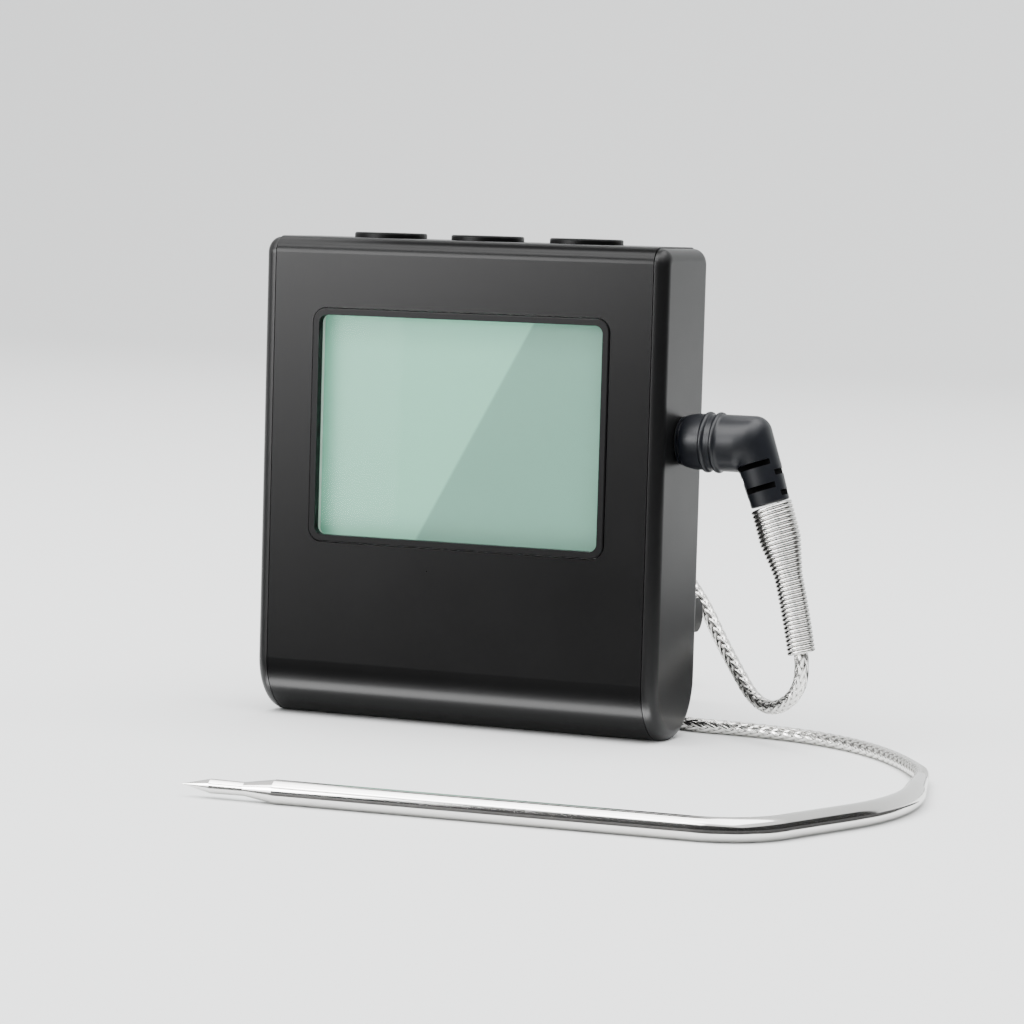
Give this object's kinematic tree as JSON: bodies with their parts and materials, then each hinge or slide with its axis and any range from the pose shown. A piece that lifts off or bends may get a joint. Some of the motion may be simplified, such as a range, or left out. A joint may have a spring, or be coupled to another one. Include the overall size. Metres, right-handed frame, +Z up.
{
  "type": "meat thermometer",
  "caption": "Digital probe thermometer on a kickstand: wrap-round case with a window and top buttons, side plug, braided lead and bent steel probe.",
  "frame": {"origin": "centre of the flat under the display unit, on the table", "axes": "+X to the jack side, +Y to the back with the kickstand, +Z up; the window faces -Y"},
  "size_m": [0.1173, 0.1583, 0.0738],
  "materials": {
    "black_plastic": "satin black moulded plastic",
    "cap_plastic": "satin dark grey moulded plastic",
    "bezel_plastic": "black ring with a soft shine",
    "lens": "clear flat window",
    "lcd": "pale green-grey display glass",
    "white_plastic": "white moulded tray",
    "strip_rubber": "striped elastomer connector",
    "board": "green circuit laminate",
    "chip": "black component bodies",
    "button_rubber": "mid-grey satin buttons",
    "contact_metal": "nickel-plated sheet and wire",
    "battery_skin": "plain grey sleeve",
    "wire": "insulated wire",
    "screw_steel": "blackened steel screws",
    "pin_steel": "plain steel pin",
    "magnet": "nickel-plated magnets",
    "plug_metal": "nickel-plated jack pin",
    "plug_plastic": "satin black moulded plug",
    "spring_steel": "bright close-wound wire",
    "braid": "woven stainless braid",
    "tie": "black plastic band",
    "probe_steel": "polished stainless steel"
  },
  "bodies": {
    "housing": {"front_shell": "black_plastic", "rear_cover": "black_plastic", "left_end_cap": "cap_plastic", "right_end_cap": "cap_plastic", "window_bezel": "bezel_plastic", "window_lens": "lens", "lcd_glass": "lcd", "lcd_frame": "white_plastic", "contact_strip": "strip_rubber", "circuit_board": "board", "controller_chip": "chip", "buzzer": "chip", "key_board": "board", "key_switches": "chip", "jack_socket": "chip", "jack_contacts": "contact_metal", "battery": "battery_skin", "battery_spring": "contact_metal", "battery_plate": "contact_metal", "battery_wires": "wire", "cover_screws": "screw_steel", "kickstand_pin": "pin_steel"},
    "button_left_body": {"button_left": "button_rubber", "switch_plunger_left": "chip"},
    "button_middle_body": {"button_middle": "button_rubber", "switch_plunger_middle": "chip"},
    "button_right_body": {"button_right": "button_rubber", "switch_plunger_right": "chip"},
    "battery_door_body": {"battery_door": "black_plastic"},
    "stand": {"kickstand": "black_plastic", "stand_magnets": "magnet"},
    "lead": {"plug_pin": "plug_metal", "pin_insulator": "chip", "plug_body": "plug_plastic", "strain_relief": "plug_plastic", "plug_spring": "spring_steel", "cable_lead": "braid", "cable_coil": "braid", "coil_tie": "tie", "cable_run": "braid", "cable_crimp": "probe_steel", "probe_tube": "probe_steel", "probe_tip": "probe_steel", "sensor_bead": "chip"}
  },
  "joints": [
    {"name": "button_left_press", "type": "slide", "parent": "housing", "child": "button_left_body", "axis": [0, 0, -1], "range_m": [0, 0.0006], "stiffness_N_per_m": 800, "springref_m": -0.0006},
    {"name": "button_middle_press", "type": "slide", "parent": "housing", "child": "button_middle_body", "axis": [0, 0, -1], "range_m": [0, 0.0006], "stiffness_N_per_m": 800, "springref_m": -0.0006},
    {"name": "button_right_press", "type": "slide", "parent": "housing", "child": "button_right_body", "axis": [0, 0, -1], "range_m": [0, 0.0006], "stiffness_N_per_m": 800, "springref_m": -0.0006},
    {"name": "kickstand_fold", "type": "hinge", "parent": "housing", "child": "stand", "pos_m": [0, 0.0119, 0.0176], "axis": [1, 0, 0], "range_deg": [0, 137]},
    {"name": "battery_door_lift", "type": "slide", "parent": "housing", "child": "battery_door_body", "axis": [0, 1, 0], "range_m": [0, 0.0025]},
    {"name": "plug_pull", "type": "slide", "parent": "housing", "child": "lead", "axis": [1, 0, 0], "range_m": [0, 0.016]}
  ]
}
